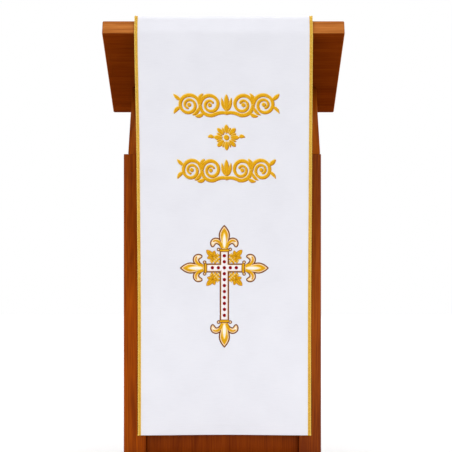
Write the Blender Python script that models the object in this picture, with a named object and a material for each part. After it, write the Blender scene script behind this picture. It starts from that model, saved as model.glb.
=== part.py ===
"""A wooden ambo (lectern) with a long white cloth laid over its sloping desk.

The cloth falls down the front, lies on the desk and falls again on the reader's side.
Metres, +Z up. The origin is on the floor under the middle of the part. The front,
which faces the people, looks towards -Y, and the reader stands on the +Y side.
"""

import math

import bmesh
import bpy
from mathutils import Matrix, Vector

# Desk: one thick board that slopes down towards the reader
DESK_WIDTH = 0.680
DESK_LENGTH = 0.440
DESK_THICKNESS = 0.040
DESK_SLOPE = math.radians(25.5)
DESK_TOP_HEIGHT = 1.300

# Body: a panelled box under the desk
BODY_WIDTH = 0.565
BODY_DEPTH = 0.285
BODY_TOP = 0.930
BODY_SETBACK = 0.090
BODY_SHIFT = -0.003
STILE_WIDTH = 0.063
STILE_THICKNESS = 0.028
TOP_RAIL_HEIGHT = 0.070
PANEL_THICKNESS = 0.010
WALL = 0.022

# Neck: the part of the box that leans back from the body to the desk's underside
NECK_WIDTH = 0.550
NECK_SHIFT = 0.002
NECK_TOP_SETBACK = 0.2644

# Plinth: a low box in line with the body's sides and back, with a ledge in front
PLINTH_HEIGHT = 0.065
PLINTH_LEDGE = 0.020

# Cloth: a band with a gold piping sewn along each long edge
CLOTH_WIDTH = 0.500
CLOTH_THICKNESS = 0.002
CLOTH_LENGTH = 2.500
CLOTH_SHIFT = 0.0005
FRONT_HEM_HEIGHT = 0.125
PIPING_WIDTH = 0.009
BRAID_RISE = 0.0014
CORD_RISE = 0.0026

# How the cloth hangs: distances from the cloth's middle surface to the wood
CORNER_CLEARANCE = 0.005
DESK_CLEARANCE = 0.0013
BODY_CLEARANCE = 0.0034
FOLD_RISE = 0.0155
FOLD_LENGTH = 0.080
REST_HEIGHT = 0.500
FRONT_SKEW = 0.0005
EDGE_SLIP = 0.0035
SLIP_DEPTH = 0.350
FRONT_BOW = 0.011
STILE_REACH = 0.9
FRONT_SWAY = 0.0025
REAR_SWAY = 0.004

GAP = 0.0003
EASE = 0.0015
DESK_EASE = 0.003
CLOTH_COLUMNS = 14
ROW_SPACING = 0.055
ARC_STEP = math.radians(15)
SMOOTH_ANGLE = math.radians(30)

# Places that follow from the sizes above
SLOPE_RUN = math.cos(DESK_SLOPE)
SLOPE_DROP = math.sin(DESK_SLOPE)
DESK_REACH = DESK_LENGTH * SLOPE_RUN + DESK_THICKNESS * SLOPE_DROP
FRONT_Y = -DESK_REACH / 2
DESK_LOW_CORNER = Vector((0, FRONT_Y, DESK_TOP_HEIGHT - DESK_THICKNESS * SLOPE_RUN))
DESK_ALONG = Vector((0, SLOPE_RUN, -SLOPE_DROP))
DESK_NORMAL = Vector((0, SLOPE_DROP, SLOPE_RUN))
DESK_TOP_CORNER = DESK_LOW_CORNER + DESK_NORMAL * DESK_THICKNESS
DESK_REAR_CORNER = DESK_TOP_CORNER + DESK_ALONG * DESK_LENGTH
BODY_FRONT = FRONT_Y + BODY_SETBACK
BODY_BACK = BODY_FRONT + BODY_DEPTH


def underside_height(y):
    """Height of the desk's underside above a point at depth y."""
    return DESK_LOW_CORNER.z - (y - FRONT_Y) * math.tan(DESK_SLOPE)


def smooth_step(value, low, high):
    """0 below low, 1 above high, and a smooth rise between them."""
    share = min(1.0, max(0.0, (value - low) / (high - low)))
    return share * share * (3 - 2 * share)


def clear_scene():
    for item in list(bpy.data.objects):
        bpy.data.objects.remove(item)


def make_material(name, colour, roughness):
    material = bpy.data.materials.new(name)
    material.use_nodes = True
    shader = material.node_tree.nodes["Principled BSDF"]
    shader.inputs["Base Color"].default_value = (*colour, 1)
    shader.inputs["Roughness"].default_value = roughness
    shader.inputs["Metallic"].default_value = 0
    return material


def add_object(name, mesh_builder, material):
    """A new object from a filled bmesh, with its material."""
    mesh = bpy.data.meshes.new(name)
    bmesh.ops.recalc_face_normals(mesh_builder, faces=mesh_builder.faces)
    mesh_builder.to_mesh(mesh)
    mesh_builder.free()
    mesh.materials.append(material)
    mesh.shade_smooth()
    mesh.set_sharp_from_angle(angle=SMOOTH_ANGLE)
    item = bpy.data.objects.new(name, mesh)
    bpy.context.scene.collection.objects.link(item)
    return item


def ease_edges(item, width):
    """The small chamfer that a joiner sands on every edge."""
    bevel = item.modifiers.new("eased_edges", "BEVEL")
    bevel.width = width
    bevel.segments = 1
    bevel.limit_method = "ANGLE"


def add_board(name, low, high, material, ease=EASE):
    """A straight board between two corners."""
    low, high = Vector(low), Vector(high)
    builder = bmesh.new()
    bmesh.ops.create_cube(builder, size=1, matrix=Matrix.Diagonal((*(high - low), 1)))
    item = add_object(name, builder, material)
    item.location = (low + high) / 2
    ease_edges(item, ease)
    return item


def add_cut_board(name, outline, left, right, material):
    """A board whose side view is an outline of (y, z) points, extruded from left to right."""
    builder = bmesh.new()
    face = builder.faces.new([builder.verts.new((left, y, z)) for y, z in outline])
    grown = bmesh.ops.extrude_face_region(builder, geom=[face])["geom"]
    moved = [part for part in grown if isinstance(part, bmesh.types.BMVert)]
    bmesh.ops.translate(builder, verts=moved, vec=(right - left, 0, 0))
    item = add_object(name, builder, material)
    ease_edges(item, EASE)
    return item


def add_plinth(wood):
    """Four boards on edge and the base board that they carry."""
    left = BODY_SHIFT - BODY_WIDTH / 2
    right = BODY_SHIFT + BODY_WIDTH / 2
    front = BODY_FRONT - PLINTH_LEDGE
    back = BODY_BACK
    boards_top = PLINTH_HEIGHT - WALL
    sides_front, sides_back = front + WALL + GAP, back - WALL - GAP
    add_board("plinth_front", (left, front, 0), (right, front + WALL, boards_top), wood)
    add_board("plinth_back", (left, back - WALL, 0), (right, back, boards_top), wood)
    add_board("plinth_left", (left, sides_front, 0), (left + WALL, sides_back, boards_top), wood)
    add_board("plinth_right", (right - WALL, sides_front, 0), (right, sides_back, boards_top), wood)
    add_board("base_board", (left, front, boards_top + GAP), (right, back, PLINTH_HEIGHT), wood)


def add_body(wood):
    """Stiles, rail and recessed panel in front, then the walls and the top of the box."""
    left = BODY_SHIFT - BODY_WIDTH / 2
    right = BODY_SHIFT + BODY_WIDTH / 2
    floor = PLINTH_HEIGHT + GAP
    frame_back = BODY_FRONT + STILE_THICKNESS
    rail_left, rail_right = left + STILE_WIDTH + GAP, right - STILE_WIDTH - GAP
    rail_foot = BODY_TOP - TOP_RAIL_HEIGHT
    add_board("stile_left", (left, BODY_FRONT, floor), (left + STILE_WIDTH, frame_back, BODY_TOP), wood)
    add_board("stile_right", (right - STILE_WIDTH, BODY_FRONT, floor), (right, frame_back, BODY_TOP), wood)
    add_board("top_rail", (rail_left, BODY_FRONT, rail_foot), (rail_right, frame_back, BODY_TOP), wood)
    panel_front = frame_back - PANEL_THICKNESS
    add_board("front_panel", (rail_left, panel_front, floor), (rail_right, frame_back, rail_foot - GAP), wood)
    walls_front = frame_back + GAP
    walls_top = BODY_TOP - WALL - GAP
    add_board("wall_left", (left, walls_front, floor), (left + WALL, BODY_BACK, walls_top), wood)
    add_board("wall_right", (right - WALL, walls_front, floor), (right, BODY_BACK, walls_top), wood)
    back_left, back_right = left + WALL + GAP, right - WALL - GAP
    add_board("wall_back", (back_left, BODY_BACK - WALL, floor), (back_right, BODY_BACK, walls_top), wood)
    add_board("body_top", (left, walls_front, BODY_TOP - WALL), (right, BODY_BACK, BODY_TOP), wood)


def add_neck(wood):
    """A leaning front board, two side walls and a back, all cut to the desk's slope on top."""
    left = NECK_SHIFT - NECK_WIDTH / 2
    right = NECK_SHIFT + NECK_WIDTH / 2
    floor = BODY_TOP + GAP
    neck_top_y = FRONT_Y + NECK_TOP_SETBACK
    lean = math.atan2(neck_top_y - BODY_FRONT, underside_height(neck_top_y) - floor)
    front_board = WALL / math.cos(lean)

    def top_at(y):
        return underside_height(y) - 2 * GAP

    def corner_column(y):
        return (y, floor), (y, top_at(y))

    foot_y, head_y = BODY_FRONT, neck_top_y
    front = [(foot_y, floor), (head_y, top_at(head_y))]
    inner = [(foot_y + front_board, floor), (head_y + front_board, top_at(head_y + front_board))]
    add_cut_board("neck_front", front + inner[::-1], left, right, wood)
    wall_foot_y = foot_y + front_board + 2 * GAP
    wall_head_y = head_y + front_board + 2 * GAP
    side = [(wall_foot_y, floor), (wall_head_y, top_at(wall_head_y)), *corner_column(BODY_BACK)[::-1]]
    add_cut_board("neck_left", side, left, left + WALL, wood)
    add_cut_board("neck_right", side, right - WALL, right, wood)
    back = [*corner_column(BODY_BACK - WALL), *corner_column(BODY_BACK)[::-1]]
    add_cut_board("neck_back", back, left + WALL + GAP, right - WALL - GAP, wood)


def add_desk(wood):
    builder = bmesh.new()
    size = Matrix.Diagonal((DESK_WIDTH, DESK_LENGTH, DESK_THICKNESS, 1))
    bmesh.ops.create_cube(builder, size=1, matrix=size)
    desk = add_object("desk", builder, wood)
    desk.location = DESK_LOW_CORNER + DESK_ALONG * DESK_LENGTH / 2 + DESK_NORMAL * DESK_THICKNESS / 2
    desk.rotation_euler.x = -DESK_SLOPE
    ease_edges(desk, DESK_EASE)


def path_corners():
    """The corners of the cloth's side view and the radius of each bend, from front hem to rear."""
    rest_y = BODY_FRONT - BODY_CLEARANCE
    rear_y = DESK_REAR_CORNER.y + CORNER_CLEARANCE
    fold = DESK_TOP_CORNER - DESK_ALONG * FOLD_RISE + DESK_NORMAL * FOLD_RISE
    settled = DESK_TOP_CORNER + DESK_ALONG * FOLD_LENGTH + DESK_NORMAL * DESK_CLEARANCE
    lifting = DESK_REAR_CORNER - DESK_ALONG * FOLD_LENGTH + DESK_NORMAL * DESK_CLEARANCE
    turn_height = DESK_REAR_CORNER.z + CORNER_CLEARANCE * (1 / SLOPE_RUN - math.tan(DESK_SLOPE))
    return [
        (Vector((0, rest_y, FRONT_HEM_HEIGHT)), 0),
        (Vector((0, rest_y, REST_HEIGHT)), 1.4),
        (DESK_LOW_CORNER - Vector((0, CORNER_CLEARANCE, 0)), 0.014),
        (fold, 0.014),
        (settled, 0.3),
        (lifting, 0.3),
        (Vector((0, rear_y, turn_height)), 0.009),
        (Vector((0, rear_y, 0)), 0),
    ]


def bend_points(before, corner, after, radius):
    """Points of the arc that rounds one corner of the path."""
    arriving = (corner - before).normalized()
    leaving = (after - corner).normalized()
    turn = arriving.angle(leaving)
    reach = radius * math.tan(turn / 2)
    start = corner - arriving * reach
    inward = (leaving - arriving * arriving.dot(leaving)).normalized()
    steps = max(2, math.ceil(turn / ARC_STEP))
    angles = [turn * step / steps for step in range(steps + 1)]
    return [start + arriving * radius * math.sin(a) + inward * radius * (1 - math.cos(a)) for a in angles]


def cloth_path():
    """Points down the middle of the cloth, its rows, until the whole length is laid."""
    corners = path_corners()
    rounded = [corners[0][0]]
    for (before, _), (corner, radius), (after, _) in zip(corners, corners[1:], corners[2:]):
        rounded += bend_points(before, corner, after, radius)
    rounded.append(corners[-1][0])
    rows = [rounded[0]]
    laid = 0.0
    for start, end in zip(rounded, rounded[1:]):
        length = min((end - start).length, CLOTH_LENGTH - laid)
        direction = (end - start).normalized()
        pieces = max(1, math.ceil(length / ROW_SPACING))
        rows += [start + direction * length * (piece + 1) / pieces for piece in range(pieces)]
        laid += length
    return rows


def row_normals(rows):
    """The cloth's outward normal at each row, square to the path in its side view."""
    normals = []
    for index in range(len(rows)):
        before = rows[max(0, index - 1)]
        after = rows[min(len(rows) - 1, index + 1)]
        along = (after - before).normalized()
        normals.append(Vector((0, -along.z, along.y)))
    return normals


def hang(across, point, normal, lift=0.0):
    """Where a point of the cloth hangs: across from its middle line, beside a point of the path."""
    place = point + normal * lift
    place.x = CLOTH_SHIFT + across
    side = across / (CLOTH_WIDTH / 2)
    middle = max(0.0, 1 - (side / STILE_REACH) ** 2) ** 2
    if point.y < FRONT_Y + BODY_SETBACK and point.z < DESK_LOW_CORNER.z:
        low = 1 - smooth_step(point.z, REST_HEIGHT, DESK_LOW_CORNER.z)
        under_desk = 1 - smooth_step(point.z, DESK_LOW_CORNER.z - SLIP_DEPTH, DESK_LOW_CORNER.z)
        place.x += FRONT_SKEW * low + EDGE_SLIP * under_desk * (1 - side) / 2
        place.y += FRONT_BOW * middle * (1 - smooth_step(point.z, 0.2, 0.8))
        waist = math.sin(math.pi * smooth_step(point.z, REST_HEIGHT, DESK_LOW_CORNER.z))
        place.y -= FRONT_SWAY * waist * math.sin(2.5 * side + 0.7) * middle
    elif point.y > DESK_REAR_CORNER.y:
        free = 1 - smooth_step(point.z, 0.3, DESK_REAR_CORNER.z)
        place.y -= REAR_SWAY * free * (1 + math.cos(math.pi * (side + 0.25))) / 2
    return place


def add_cloth(fabric, rows, normals):
    """The white band: a grid laid on the path, then given its thickness."""
    band = CLOTH_WIDTH - 2 * (PIPING_WIDTH + GAP)
    last = len(rows) - 1
    builder = bmesh.new()
    bmesh.ops.create_grid(builder, x_segments=CLOTH_COLUMNS, y_segments=last, size=0.5)
    for vert in builder.verts:
        row = round((vert.co.y + 0.5) * last)
        vert.co = hang(vert.co.x * band, rows[row], normals[row])
    cloth = add_object("cloth", builder, fabric)
    thickness = cloth.modifiers.new("thickness", "SOLIDIFY")
    thickness.thickness = CLOTH_THICKNESS
    thickness.offset = 0
    thickness.use_even_offset = True


def piping_section():
    """The piping's section as (across, lift): a flat back, a flat braid and a round cord."""
    back = -CLOTH_THICKNESS / 2
    return [
        (0.0, back),
        (0.0, BRAID_RISE),
        (PIPING_WIDTH * 0.50, BRAID_RISE),
        (PIPING_WIDTH * 0.62, CORD_RISE),
        (PIPING_WIDTH * 0.86, CORD_RISE),
        (PIPING_WIDTH, CORD_RISE * 0.40),
        (PIPING_WIDTH * 0.94, back),
    ]


def add_piping(name, side, gold, rows, normals):
    """One gold edge: its section swept along the cloth's rows by extruding from row to row."""
    inner_edge = CLOTH_WIDTH / 2 - PIPING_WIDTH

    def ring_places(row):
        return [
            hang(side * (inner_edge + across), rows[row], normals[row], lift)
            for across, lift in piping_section()
        ]

    builder = bmesh.new()
    hem_ring = [builder.verts.new(place) for place in ring_places(0)]
    end_face = builder.faces.new(hem_ring)
    for row in range(1, len(rows)):
        end_face = bmesh.ops.extrude_discrete_faces(builder, faces=[end_face])["faces"][0]
        for vert, place in zip(end_face.verts, ring_places(row)):
            vert.co = place
    builder.faces.new(hem_ring)
    add_object(name, builder, gold)


def main():
    clear_scene()
    wood = make_material("stained_wood", (0.23, 0.045, 0.006), 0.42)
    fabric = make_material("white_cloth", (0.80, 0.79, 0.85), 0.85)
    gold = make_material("gold_braid", (0.74, 0.47, 0.10), 0.45)
    add_plinth(wood)
    add_body(wood)
    add_neck(wood)
    add_desk(wood)
    rows = cloth_path()
    normals = row_normals(rows)
    add_cloth(fabric, rows, normals)
    add_piping("piping_left", -1, gold, rows, normals)
    add_piping("piping_right", 1, gold, rows, normals)


main()
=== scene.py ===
# %% [markdown]
# # A long white cloth on its ambo
#
# An ambo is the stand that the readings are read from. This one carries a long white
# cloth with a gold edge, which falls down the front, lies over the sloping desk and
# falls again on the reader's side.
#
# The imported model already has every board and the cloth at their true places. This
# lesson gives each of them its fine shape and its finish: rounded boards with grain, a
# hemmed and edged cloth, and raised embroidery. Everything is in metres, +Z is up, and
# the front looks towards -Y.

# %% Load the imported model
import math

import bmesh
import bpy
import numpy as np
from mathutils import Matrix, Vector


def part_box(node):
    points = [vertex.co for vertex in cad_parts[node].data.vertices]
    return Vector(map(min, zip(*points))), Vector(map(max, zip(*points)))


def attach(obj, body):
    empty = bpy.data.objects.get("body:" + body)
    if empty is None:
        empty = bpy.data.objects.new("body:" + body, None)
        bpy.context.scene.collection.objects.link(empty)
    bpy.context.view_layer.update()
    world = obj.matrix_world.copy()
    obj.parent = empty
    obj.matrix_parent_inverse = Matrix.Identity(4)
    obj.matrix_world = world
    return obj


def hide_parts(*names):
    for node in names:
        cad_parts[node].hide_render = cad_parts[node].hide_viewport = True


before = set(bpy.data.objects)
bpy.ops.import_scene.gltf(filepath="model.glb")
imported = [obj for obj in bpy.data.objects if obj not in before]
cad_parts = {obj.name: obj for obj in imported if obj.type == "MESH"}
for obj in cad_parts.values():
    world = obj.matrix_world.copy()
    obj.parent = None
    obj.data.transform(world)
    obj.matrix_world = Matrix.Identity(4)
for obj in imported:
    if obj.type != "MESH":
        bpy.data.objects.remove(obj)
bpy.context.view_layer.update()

MM = 0.001
print("nodes:", sorted(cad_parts))

# %% [markdown]
# ## Colours and nodes
#
# A photograph's colours are easiest to read as hex values, which are sRGB. Blender's
# sockets want linear light, so one function turns a hex value into a socket colour.
# A second small function adds any node with its settings and links. With these two, a
# material reads like a recipe. Every recipe ends alike, with a colour ramp and a relief.

# %% Helpers for every material


def hex_colour(code):
    """An sRGB hex value as linear light."""
    channels = [int(code[i : i + 2], 16) / 255 for i in (1, 3, 5)]
    linear = [c / 12.92 if c <= 0.04045 else ((c + 0.055) / 1.055) ** 2.4 for c in channels]
    return (*linear, 1.0)


def add_node(material, kind, settings=None, output=0, **inputs):
    """Adds a node and gives one of its outputs.

    Settings are its properties, and inputs are values or sockets to link.
    """
    tree = material.node_tree
    node = tree.nodes.new(kind)
    for name, value in (settings or {}).items():
        setattr(node, name, value)
    for name, value in inputs.items():
        key = int(name[1:]) if name[1:].isdigit() else name.replace("_", " ")
        socket = node.inputs[key]
        if isinstance(value, bpy.types.NodeSocket):
            tree.links.new(value, socket)
        else:
            socket.default_value = value
    return node.outputs[output]


def new_material(name, **shader_values):
    """A material with a Principled shader whose sockets are set by name."""
    material = bpy.data.materials.new(name)
    material.use_nodes = True
    shader = material.node_tree.nodes["Principled BSDF"]
    for socket, value in shader_values.items():
        shader.inputs[socket.replace("_", " ")].default_value = value
    return material, shader


def link(material, output, socket):
    material.node_tree.links.new(output, socket)


def finish_surface(material, shader, shade, stops, height, strength, depth):
    """Colours the surface along a ramp of three (position, hex) stops and raises its relief."""
    tone = add_node(material, "ShaderNodeValToRGB", Fac=shade)
    elements = tone.node.color_ramp.elements
    elements.new(0.5)
    for element, (position, code) in zip(elements, stops):
        element.position = position
        element.color = hex_colour(code)
    link(material, tone, shader.inputs["Base Color"])
    bump = add_node(material, "ShaderNodeBump", Height=height, Strength=strength, Distance=depth)
    link(material, bump, shader.inputs["Normal"])


print("white cloth in linear light:", [round(c, 3) for c in hex_colour("#e8e8ee")])

# %% [markdown]
# ## The stained wood
#
# The ambo is joined from solid boards with a reddish brown stain and a satin varnish.
# The stain sinks into the open fibres, so the grain shows as long soft streaks, darker
# and lighter, about 3 mm apart, within broad bands some 4 cm wide. Each board has its own
# streaks, so each gets its own shift of the pattern, and the streaks run along the board.
# The two stiles are painted a little darker towards the foot: painted shade.
#
# Noise that is stretched along the grain gives both: one at the fibres' scale, and one at
# the bands'. A finer one gives the pores their relief. The stain has next to no blue in
# it, and a white gloss would make it pink, so the wood itself hardly reflects and a thin
# smooth coat of varnish does it instead.

# %% Stained wood
RED_BROWN = ("#7c3304", "#9c4806", "#b2570b")
SATIN_VARNISH = 0.05
GRAIN_TURN = {"x": (0, 0, 0), "y": (0, 0, math.pi / 2), "z": (0, math.pi / 2, 0)}
STREAKS = {
    "fibres": ((9, 330, 330), {"Detail": 5.0, "Roughness": 0.6}),
    "bands": ((1.6, 26, 26), {"Detail": 3.0, "Roughness": 0.5, "Distortion": 0.6}),
    "pores": ((55, 1500, 1500), {"Detail": 2.0, "Roughness": 0.5}),
}
BAND_SHARE = 0.42
# Heights between which the painted shade at the foot fades out.
PAINTED_SHADE_LOW = 0.08
PAINTED_SHADE_HIGH = 0.50


def stained_wood(name, grain, shift, tint=RED_BROWN, slope=0.0, varnish=SATIN_VARNISH, foot=0.0):
    """Wood whose fibres run along one axis of the piece, each board from its own place in the log.

    The tint is its dark, middle and light tone. Slope turns the pattern with a sloping
    board, and foot paints shade on it, darker towards the floor.
    """
    material, shader = new_material(
        name, Roughness=0.5, Specular_IOR_Level=varnish / 3, Coat_Weight=varnish, Coat_Roughness=0.25
    )
    place = add_node(material, "ShaderNodeTexCoord", output="Object")
    if slope:
        place = add_node(material, "ShaderNodeMapping", _0=place, Rotation=(slope, 0, 0))
    start = (shift, shift * 0.7, shift * 1.3)
    turn = GRAIN_TURN[grain]
    along = add_node(material, "ShaderNodeMapping", Vector=place, Rotation=turn, Location=start)
    streaks = []
    for stretch, noise in STREAKS.values():
        stretched = add_node(material, "ShaderNodeMapping", Vector=along, Scale=stretch)
        streaks.append(add_node(material, "ShaderNodeTexNoise", Vector=stretched, Scale=1.0, **noise))
    fibres, bands, pores = streaks
    figure = add_node(material, "ShaderNodeMix", _0=BAND_SHARE, _2=fibres, _3=bands)
    # Painted shade: the wood's colour is made darker towards the floor.
    if foot:
        height = add_node(material, "ShaderNodeSeparateXYZ", output="Z", Vector=place)
        lower = {"From_Min": PAINTED_SHADE_LOW, "From_Max": PAINTED_SHADE_HIGH, "To_Min": -foot, "To_Max": 0.0}
        painted_foot_shade = add_node(material, "ShaderNodeMapRange", Value=height, **lower)
        figure = add_node(material, "ShaderNodeMath", _0=figure, _1=painted_foot_shade)
    relief = add_node(material, "ShaderNodeMix", _0=0.5, _2=fibres, _3=pores)
    finish_surface(material, shader, figure, zip((0.36, 0.50, 0.64), tint), relief, 0.25, 0.25 * MM)
    return material


print("fibres of the wood every", round(1000 / STREAKS["fibres"][0][1], 1), "mm")

# %% [markdown]
# ## The boards
#
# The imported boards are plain. A joiner planes each one square and then rounds every edge
# with sandpaper, and those small rounds catch the light along the desk and the body. So
# each board is made again from its own box and its edges are rounded with a bevel of
# several segments. The desk is the same board at a slope. The boards of the neck are cut
# to a slanted outline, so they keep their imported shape.

# %% Helpers that turn a bmesh into a piece of the ambo


def new_object(name, data):
    """An object in the scene for a mesh, a camera or a lamp."""
    item = bpy.data.objects.new(name, data)
    bpy.context.scene.collection.objects.link(item)
    return item


def mesh_object(name, builder, material):
    mesh = bpy.data.meshes.new(name)
    builder.to_mesh(mesh)
    builder.free()
    mesh.materials.append(material)
    return new_object(name, mesh)


def finish_piece(name, builder, material, replaced=None):
    """Writes the bmesh to a new object that rides on the ambo."""
    bmesh.ops.recalc_face_normals(builder, faces=builder.faces)
    item = mesh_object(name, builder, material)
    item.data.shade_smooth()
    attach(item, "root")
    if replaced:
        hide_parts(replaced)
    return item


def round_edges(builder, radius, segments=3, edges=None):
    bmesh.ops.bevel(
        builder,
        geom=edges or builder.edges[:],
        offset=radius,
        segments=segments,
        profile=0.5,
        affect="EDGES",
        clamp_overlap=True,
        material=-1,
    )


def smooth_by_angle(item, degrees=35):
    item.data.set_sharp_from_angle(angle=math.radians(degrees))


# %% The straight boards
WOOD_ROUND = 2.0 * MM
BOARDS_ALONG = {
    "z": ("stile_left", "stile_right", "front_panel", "wall_left", "wall_right", "wall_back"),
    "x": ("top_rail", "body_top", "base_board", "plinth_front", "plinth_back"),
    "y": ("plinth_left", "plinth_right"),
}
STAIN_AND_PAINTED_SHADE_OF = {
    "front_panel": {"tint": ("#602202", "#7b3103", "#8e3e05")},
    # The stiles' foot value is painted shade, darker towards the floor.
    "stile_left": {"tint": ("#782f02", "#984303", "#ac5105"), "foot": 0.08},
    "stile_right": {"tint": ("#702d0b", "#8d410e", "#9d4d13"), "foot": 0.15},
}


def straight_board(node, grain, shift):
    """A board from its packed box, with rounded edges and its own wood."""
    low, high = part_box(node)
    size = Matrix.Diagonal((*(high - low), 1))
    builder = bmesh.new()
    bmesh.ops.create_cube(builder, size=1, matrix=Matrix.Translation((low + high) / 2) @ size)
    round_edges(builder, WOOD_ROUND)
    wood = stained_wood(f"stained_wood_{node}", grain, shift, **STAIN_AND_PAINTED_SHADE_OF.get(node, {}))
    smooth_by_angle(finish_piece(f"{node}_board", builder, wood, node))


straight_boards = [(node, grain) for grain, nodes in BOARDS_ALONG.items() for node in nodes]
for number, (node, grain) in enumerate(straight_boards):
    straight_board(node, grain, 3.7 * number + 1.3)
print("straight boards:", len(straight_boards))

# %% [markdown]
# ## The desk and the neck
#
# The desk's box in the imported model is upright, and the board itself is tilted by 25.5
# degrees, so its true length and thickness are stated here again. The wood's pattern is
# turned with the board, so that the grain stays in its plane. Its short upright corners
# are rounded more than its long edges. Its tint is lighter than the other boards', partly
# its own tone and partly painted light from overhead, and its underside is painted darker
# as painted shade.

# %% Sizes of the desk, and the places that follow from them
DESK_WIDTH = 0.680
DESK_LENGTH = 0.440
DESK_THICKNESS = 0.040
DESK_SLOPE = math.radians(25.5)
DESK_TOP_HEIGHT = 1.300
DESK_ROUND = 1.8 * MM
DESK_CORNER_ROUND = 5.0 * MM
BODY_SETBACK = 0.090
NECK_LEAN = math.radians(40)

SLOPE_RUN = math.cos(DESK_SLOPE)
SLOPE_DROP = math.sin(DESK_SLOPE)
FRONT_Y = -(DESK_LENGTH * SLOPE_RUN + DESK_THICKNESS * SLOPE_DROP) / 2
DESK_LOW_CORNER = Vector((0, FRONT_Y, DESK_TOP_HEIGHT - DESK_THICKNESS * SLOPE_RUN))
DESK_ALONG = Vector((0, SLOPE_RUN, -SLOPE_DROP))
DESK_NORMAL = Vector((0, SLOPE_DROP, SLOPE_RUN))
DESK_TOP_CORNER = DESK_LOW_CORNER + DESK_NORMAL * DESK_THICKNESS
DESK_REAR_CORNER = DESK_TOP_CORNER + DESK_ALONG * DESK_LENGTH
BODY_FRONT = FRONT_Y + BODY_SETBACK
print("high edge of the desk at", [round(v, 4) for v in DESK_TOP_CORNER])

# %% The desk board
# The desk's tint is partly its own lighter tone and partly painted light from overhead; the underside's
# darker tint is painted shade.
DESK_TINT_WITH_PAINTED_LIGHT = ("#8e4b1a", "#ad6428", "#c47938")
UNDER_DESK_PAINTED_SHADE = ("#602203", "#702c05", "#803709")
desk_middle = DESK_LOW_CORNER + DESK_ALONG * DESK_LENGTH / 2 + DESK_NORMAL * DESK_THICKNESS / 2
desk_builder = bmesh.new()
bmesh.ops.create_cube(
    desk_builder,
    size=1,
    matrix=Matrix.Translation(desk_middle)
    @ Matrix.Rotation(-DESK_SLOPE, 4, "X")
    @ Matrix.Diagonal((DESK_WIDTH, DESK_LENGTH, DESK_THICKNESS, 1)),
)
corner_edges = [
    edge
    for edge in desk_builder.edges
    if abs((edge.verts[0].co - edge.verts[1].co).normalized().dot(DESK_NORMAL)) > 0.9
]
round_edges(desk_builder, DESK_CORNER_ROUND, 5, corner_edges)
long_edges = [edge for edge in desk_builder.edges if edge.calc_face_angle(0) > math.radians(60)]
round_edges(desk_builder, DESK_ROUND, 4, long_edges)
desk_builder.normal_update()
# The faces that look down get the painted shade of the underside.
for face in desk_builder.faces:
    face.material_index = int(face.normal.dot(DESK_NORMAL) < -0.99)
desk_wood = stained_wood("stained_wood_desk", "x", 61.0, DESK_TINT_WITH_PAINTED_LIGHT, DESK_SLOPE)
under_desk_painted_shade = stained_wood("painted_shade_wood_under_desk", "x", 64.0, UNDER_DESK_PAINTED_SHADE, DESK_SLOPE, varnish=0.0)
desk_board = finish_piece("desk_board", desk_builder, desk_wood, "desk")
desk_board.data.materials.append(under_desk_painted_shade)
smooth_by_angle(desk_board)
print("faces of the desk:", len(desk_board.data.polygons))

# %% The boards of the neck
NECK_BOARDS = {
    "neck_front": ("z", NECK_LEAN),
    "neck_left": ("z", 0.0),
    "neck_right": ("z", 0.0),
    "neck_back": ("x", 0.0),
}


def neck_board(node, grain, shift, lean):
    """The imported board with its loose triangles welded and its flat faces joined."""
    builder = bmesh.new()
    builder.from_mesh(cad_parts[node].data)
    bmesh.ops.remove_doubles(builder, verts=builder.verts, dist=0.01 * MM)
    bmesh.ops.dissolve_limit(
        builder, angle_limit=math.radians(1), verts=builder.verts, edges=builder.edges
    )
    wood = stained_wood(f"stained_wood_{node}", grain, shift, slope=lean)
    smooth_by_angle(finish_piece(f"{node}_board", builder, wood, node), 60)


for number, (node, (grain, lean)) in enumerate(NECK_BOARDS.items()):
    neck_board(node, grain, 83.0 + 5.1 * number, lean)
print("boards of the neck:", len(NECK_BOARDS))

# %% [markdown]
# ## How the cloth hangs
#
# Every part of the cloth is easier to make flat, as it lies on a cutting table: x runs
# across it, y runs along it from the front hem, and z is the height above its middle.
# One function then hangs a flat piece over the ambo. It knows the side view of the
# cloth, which is a chain of straight runs and rounded bends, and it adds the small
# unevenness of real cloth: the front edge that slips in under the desk, the lower part
# that bows into the recess between the stiles, and a few shallow swells.
#
# The cloth could be dropped by a simulation instead. The path is used because the
# embroidery and the edging have to follow exactly the same surface.

# %% The cloth's sizes
CLOTH_WIDTH = 0.500
CLOTH_LENGTH = 2.500
CLOTH_SHIFT = 0.0005
FRONT_HEM_HEIGHT = 0.125
EDGING_WIDTH = 9.0 * MM
CORNER_CLEARANCE = 0.005
DESK_CLEARANCE = 0.0013
BODY_CLEARANCE = 0.0034
FOLD_RISE = 0.0155
FOLD_LENGTH = 0.080
REST_HEIGHT = 0.500
FRONT_SKEW = 0.0005
EDGE_SLIP = 0.0035
SLIP_DEPTH = 0.350
FRONT_BOW = 0.011
STILE_REACH = 0.9
FRONT_SWAY = 0.0025
REAR_SWAY = 0.004
REAR_WAVE = 0.004
print("clearances of the cloth:", CORNER_CLEARANCE, DESK_CLEARANCE, BODY_CLEARANCE)

# %% The side view of the cloth
BEND_RADIUS = {"waist": 1.4, "under_desk": 0.045, "fold": 0.014, "on_desk": 0.3, "rear": 0.009}
ARC_STEP = math.radians(3)


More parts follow.
